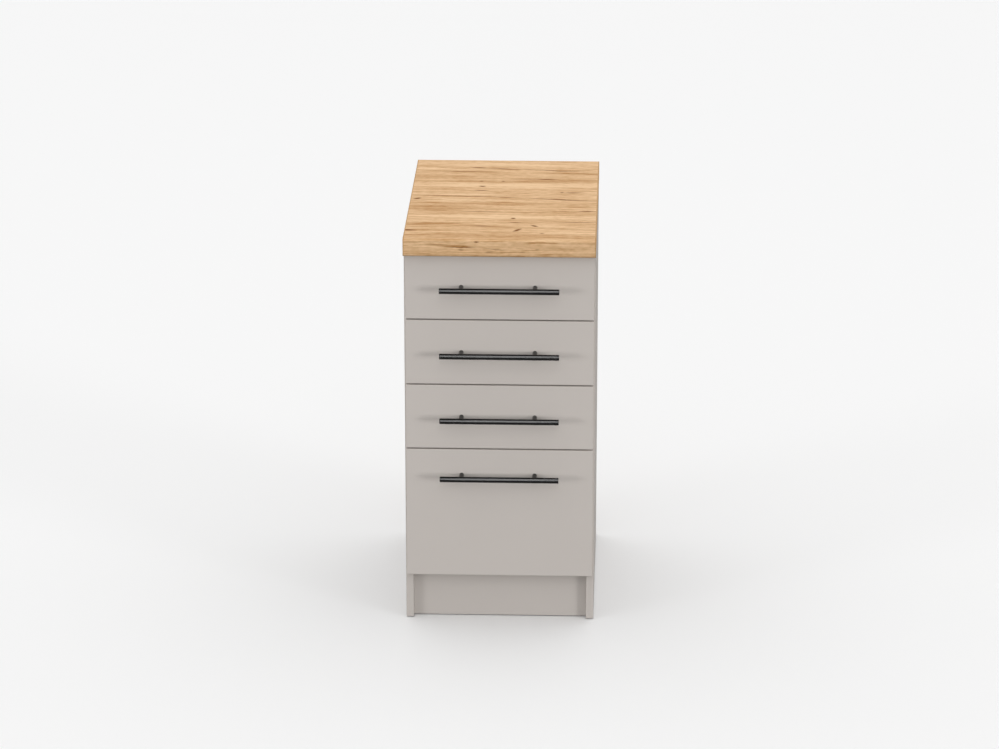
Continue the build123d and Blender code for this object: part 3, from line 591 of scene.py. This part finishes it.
class CABINET_OT_hardboard(bpy.types.Operator):
    """Finish the back panel and the drawer bottoms"""

    bl_idname = "cabinet.hardboard"
    bl_label = "Hardboard panels"

    def execute(self, context):
        bottoms = of_drawers("box_bottom")
        for nodes, name, painted, across in (
            (["back_panel"], "hardboard, white on the inside of the back", "-Y", "XZ"),
            (bottoms, "hardboard, white on the drawer bottoms", "+Z", "XY"),
        ):
            self.panel(context, nodes, name, painted, across)
        return {"FINISHED"}

    def panel(self, context, nodes, name, painted, across):
        # Pressed wood fibre: mottled brown with the mesh of the press's screen, one face painted white
        colours = context.scene.cabinet_colours
        sizes = context.scene.cabinet_patterns
        material, tree, place = new_finish(name)
        mottle = grain(tree, place["Object"], [sizes.mottle] * 3, detail=5.0)
        fibre = grain(tree, place["Object"], [sizes.board_fibre] * 3)
        parts = add(tree, "SeparateXYZ", (place["Object"],)).outputs
        turn = 2 * math.pi / sizes.mesh
        screen = 0.0
        for axis in across:
            angle = add(tree, "Math", (parts[axis], turn), operation="MULTIPLY")
            wire = add(tree, "Math", (angle,), operation="SINE")
            screen = add(tree, "Math", (wire, screen), operation="ADD")
        darker = dimmed(colours.hardboard_brown, 0.72)
        lighter = add(tree, "MapRange", (mottle, *MOST_GRAIN))
        brown = add(tree, "Mix", (lighter, darker, colours.hardboard_brown), data_type="RGBA")
        dents = add(tree, "MapRange", (screen, -len(across), len(across), 0.25, 0.0))
        brown = add(tree, "Mix", (dents, brown, darker), data_type="RGBA")
        paint = facing(tree, place["Normal"], (painted,))
        colour = add(tree, "Mix", (paint, brown, colours.hardboard_white), data_type="RGBA")
        roughness = add(tree, "MapRange", (paint, 0.0, 1.0, 0.75, 0.4))
        height = add(tree, "Mix", (paint, screen, fibre))
        bump = add(tree, "Bump", {"Height": height, "Distance": 0.05 * MM})
        dress(nodes, material, {"Base Color": colour, "Roughness": roughness, "Normal": bump})


class CABINET_OT_runners(bpy.types.Operator):
    """Finish the runner channels and rails"""

    bl_idname = "cabinet.runners"
    bl_label = "Runners"

    def execute(self, context):
        colours = context.scene.cabinet_colours
        sizes = context.scene.cabinet_patterns
        # Folded steel strip with a white stoved coat: smooth, half gloss, slight orange peel
        material, tree, place = new_finish("white stoved coat on folded steel")
        peel = grain(tree, place["Object"], [sizes.peel] * 3)
        roughness = add(tree, "MapRange", (peel, *MOST_GRAIN, 0.26, 0.36))
        bump = add(tree, "Bump", {"Height": peel, "Distance": 0.02 * MM})
        surface = {
            "Base Color": colours.steel_white,
            "Roughness": roughness,
            "IOR": 1.5,
            "Normal": bump,
        }
        channels = ["runner_channels_left", "runner_channels_right"]
        dress(channels + of_drawers("runner_rails"), material, surface)
        return {"FINISHED"}


class CABINET_OT_rollers(bpy.types.Operator):
    """Finish the rollers"""

    bl_idname = "cabinet.rollers"
    bl_label = "Rollers"

    def execute(self, context):
        colours = context.scene.cabinet_colours
        sizes = context.scene.cabinet_patterns
        # Moulded nylon: milky, with light soaking a little way in
        material, tree, place = new_finish("natural nylon, moulded")
        milk = grain(tree, place["Object"], [sizes.milk] * 3)
        colour = add(tree, "Mix", (milk, dimmed(colours.nylon, 0.93), colours.nylon), data_type="RGBA")
        bump = add(tree, "Bump", {"Height": milk, "Distance": 0.02 * MM})
        surface = {
            "Base Color": colour,
            "Roughness": 0.4,
            "IOR": 1.53,
            "Subsurface Weight": 0.2,
            "Subsurface Radius": (1.0, 0.9, 0.8),
            "Subsurface Scale": 1 * MM,
            "Normal": bump,
        }
        dress(of_drawers("front_rollers", "rear_rollers"), material, surface)
        return {"FINISHED"}


class CABINET_OT_fasteners(bpy.types.Operator):
    """Finish the screws, nails, cams and dowels"""

    bl_idname = "cabinet.fasteners"
    bl_label = "Fasteners"

    def execute(self, context):
        colours = context.scene.cabinet_colours
        sizes = context.scene.cabinet_patterns
        self.screws(colours.zinc, sizes)
        self.dowels(colours.beech, sizes)
        return {"FINISHED"}

    def screws(self, zinc, sizes):
        # Zinc plate on steel: bright grey metal, clouded where the plating is thinner
        material, tree, place = new_finish("zinc-plated steel")
        cloud = grain(tree, place["Object"], [sizes.plating] * 3, detail=3.0)
        colour = add(tree, "Mix", (cloud, dimmed(zinc, 0.8), zinc), data_type="RGBA")
        roughness = add(tree, "MapRange", (cloud, *MOST_GRAIN, 0.42, 0.28))
        carcass = ["carcass_screws", "back_panel_nails", "worktop_screws", "runner_screws"]
        surface = {"Base Color": colour, "Roughness": roughness, "Metallic": 1.0}
        dress(carcass + of_drawers("fixings"), material, surface)

    def dowels(self, beech, sizes):
        # Turned beech: fine pale streaks along the dowel
        material, tree, place = new_finish("beech, turned")
        streaks = grain(tree, place["Object"], (sizes.dowel_streak, sizes.dowel_line, sizes.dowel_line))
        colour = add(tree, "Mix", (streaks, dimmed(beech, 0.75), beech), data_type="RGBA")
        dress(["carcass_dowels"], material, {"Base Color": colour, "Roughness": 0.7})


class CABINET_OT_plastics(bpy.types.Operator):
    """Finish the screw caps and the floor glides"""

    bl_idname = "cabinet.plastics"
    bl_label = "Caps and glides"

    def execute(self, context):
        colours = context.scene.cabinet_colours
        sizes = context.scene.cabinet_patterns
        # Moulded in a spark-eroded tool: matt, with a fine even grain
        for node, name, grey in (
            ("screw_caps", "grey polyethylene, moulded matt", colours.cap_shaded_grey),
            ("floor_glides", "dark polyethylene, moulded matt", colours.glide_grey),
        ):
            material, tree, place = new_finish(name)
            eroded = grain(tree, place["Object"], [sizes.pearl] * 3, detail=4.0)
            colour = add(tree, "Mix", (eroded, dimmed(grey, 0.94), grey), data_type="RGBA")
            bump = add(tree, "Bump", {"Height": eroded, "Distance": 0.03 * MM})
            dress([node], material, {"Base Color": colour, "Roughness": 0.55, "Normal": bump})
        return {"FINISHED"}


class CABINET_OT_stage(bpy.types.Operator):
    """Make the floor, the light and the camera"""

    bl_idname = "cabinet.stage"
    bl_label = "Studio"

    def execute(self, context):
        studio = context.scene.cabinet_studio
        self.floor(context, studio)
        self.sky(context, studio)
        self.lamps(context, studio)
        self.camera(context, studio)
        context.scene.view_settings.view_transform = "Standard"
        return {"FINISHED"}

    def seen(self, tree):
        """1 for what the camera sees, also in gloss and through glass, and 0 for light on the cabinet."""
        path = add(tree, "LightPath").outputs
        gloss_and_glass = (path["Is Glossy Ray"], path["Is Transmission Ray"])
        mirrored = add(tree, "Math", gloss_and_glass, operation="MAXIMUM")
        return add(tree, "Math", (path["Is Camera Ray"], mirrored), operation="MAXIMUM")

    def floor(self, context, studio):
        half = studio.floor_size / 2
        mesh = bpy.data.meshes.new("studio_floor")
        corners = [(-half, -half, 0), (half, -half, 0), (half, half, 0), (-half, half, 0)]
        mesh.from_pydata(corners, [], [(0, 1, 2, 3)])
        floor = bpy.data.objects.new("studio_floor", mesh)
        context.scene.collection.objects.link(floor)
        # Painted studio floor: matt and pale, and much greyer for the light that it throws back
        material, tree, _ = new_finish("matt studio paint")
        colour = add(tree, "Mix", (self.seen(tree), studio.floor_grey, studio.floor_white), data_type="RGBA")
        dress([], material, {"Base Color": colour, "Roughness": 1.0, "Specular IOR Level": 0.0})
        mesh.materials.append(material)

    def sky(self, context, studio):
        world = bpy.data.worlds.new("studio light")
        context.scene.world = world
        world.use_nodes = True
        tree = world.node_tree
        tree.nodes.clear()
        way = add(tree, "TexCoord").outputs["Generated"]
        lean = add(tree, "VectorMath", (way, studio.sky_lean), operation="DOT_PRODUCT")
        strength = add(tree, "Math", (lean, studio.sky), operation="ADD")
        light = add(tree, "Background", (linear("FFFFFF"), strength))
        backdrop = add(tree, "Background", (studio.floor_white, 1.0))
        both = add(tree, "MixShader", (self.seen(tree), light, backdrop))
        add(tree, "OutputWorld", {"Surface": both})

    def lamps(self, context, studio):
        # Soft suns low on either side, a tall lamp in front, and a tall strip for the line along the handles
        far = studio.lamp_distance
        for name, (kind, around, up, wide, high) in LAMPS.items():
            light = self.light(name, kind, wide, high, getattr(studio, name), far)
            lamp = bpy.data.objects.new(name, light)
            turn = Euler((math.radians(90 - up), 0, math.radians(around)))
            lamp.rotation_euler = turn
            lamp.location = turn.to_matrix() @ Vector((0, 0, far))
            lamp.visible_diffuse = name != GLOSS_LAMP
            context.scene.collection.objects.link(lamp)

    def light(self, name, kind, wide, high, share, far):
        """Light that gives a surface facing it, from afar, a share of what a plain white sky gives."""
        light = bpy.data.lights.new(name, kind)
        light.energy = share * math.pi
        if kind == "SUN":
            light.angle = math.radians(wide)
        else:
            light.shape = "RECTANGLE"
            light.size = 2 * far * math.tan(math.radians(wide / 2))
            light.size_y = 2 * far * math.tan(math.radians(high / 2))
            light.energy *= math.pi * far**2
        return light

    def camera(self, context, studio):
        view = bpy.data.cameras.new("photo_camera")
        view.lens = studio.lens
        camera = bpy.data.objects.new("photo_camera", view)
        camera.location = studio.camera_place
        camera.rotation_euler = studio.camera_turn
        context.scene.collection.objects.link(camera)
        context.scene.camera = camera


class CABINET_PT_panel(bpy.types.Panel):
    """Lists the cabinet's colours, patterns and studio, and what finishes each piece"""

    bl_idname = "CABINET_PT_panel"
    bl_label = "Kitchen base cabinet"
    bl_space_type = "VIEW_3D"
    bl_region_type = "UI"
    bl_category = "Cabinet"

    def draw(self, context):
        for group in GROUPS:
            box = self.layout.box()
            box.label(text=group)
            settings = getattr(context.scene, group)
            for name in settings.__annotations__:
                box.prop(settings, name)
        for step in STEPS:
            self.layout.operator(step.bl_idname)


GROUPS = {
    "cabinet_colours": CabinetColours,
    "cabinet_patterns": CabinetPatterns,
    "cabinet_studio": CabinetStudio,
}
STEPS = (
    CABINET_OT_carcass,
    CABINET_OT_fronts,
    CABINET_OT_worktop,
    CABINET_OT_handles,
    CABINET_OT_drawer_boxes,
    CABINET_OT_hardboard,
    CABINET_OT_runners,
    CABINET_OT_rollers,
    CABINET_OT_fasteners,
    CABINET_OT_plastics,
    CABINET_OT_stage,
)


def register():
    for name, group in GROUPS.items():
        bpy.utils.register_class(group)
        setattr(bpy.types.Scene, name, bpy.props.PointerProperty(type=group))
    for step in STEPS:
        bpy.utils.register_class(step)
    bpy.utils.register_class(CABINET_PT_panel)


def unregister():
    bpy.utils.unregister_class(CABINET_PT_panel)
    for step in reversed(STEPS):
        bpy.utils.unregister_class(step)
    for name, group in GROUPS.items():
        delattr(bpy.types.Scene, name)
        bpy.utils.unregister_class(group)


def main():
    register()
    for step in STEPS:
        category, name = step.bl_idname.split(".")
        getattr(getattr(bpy.ops, category), name)()


if __name__ == "__main__":
    main()
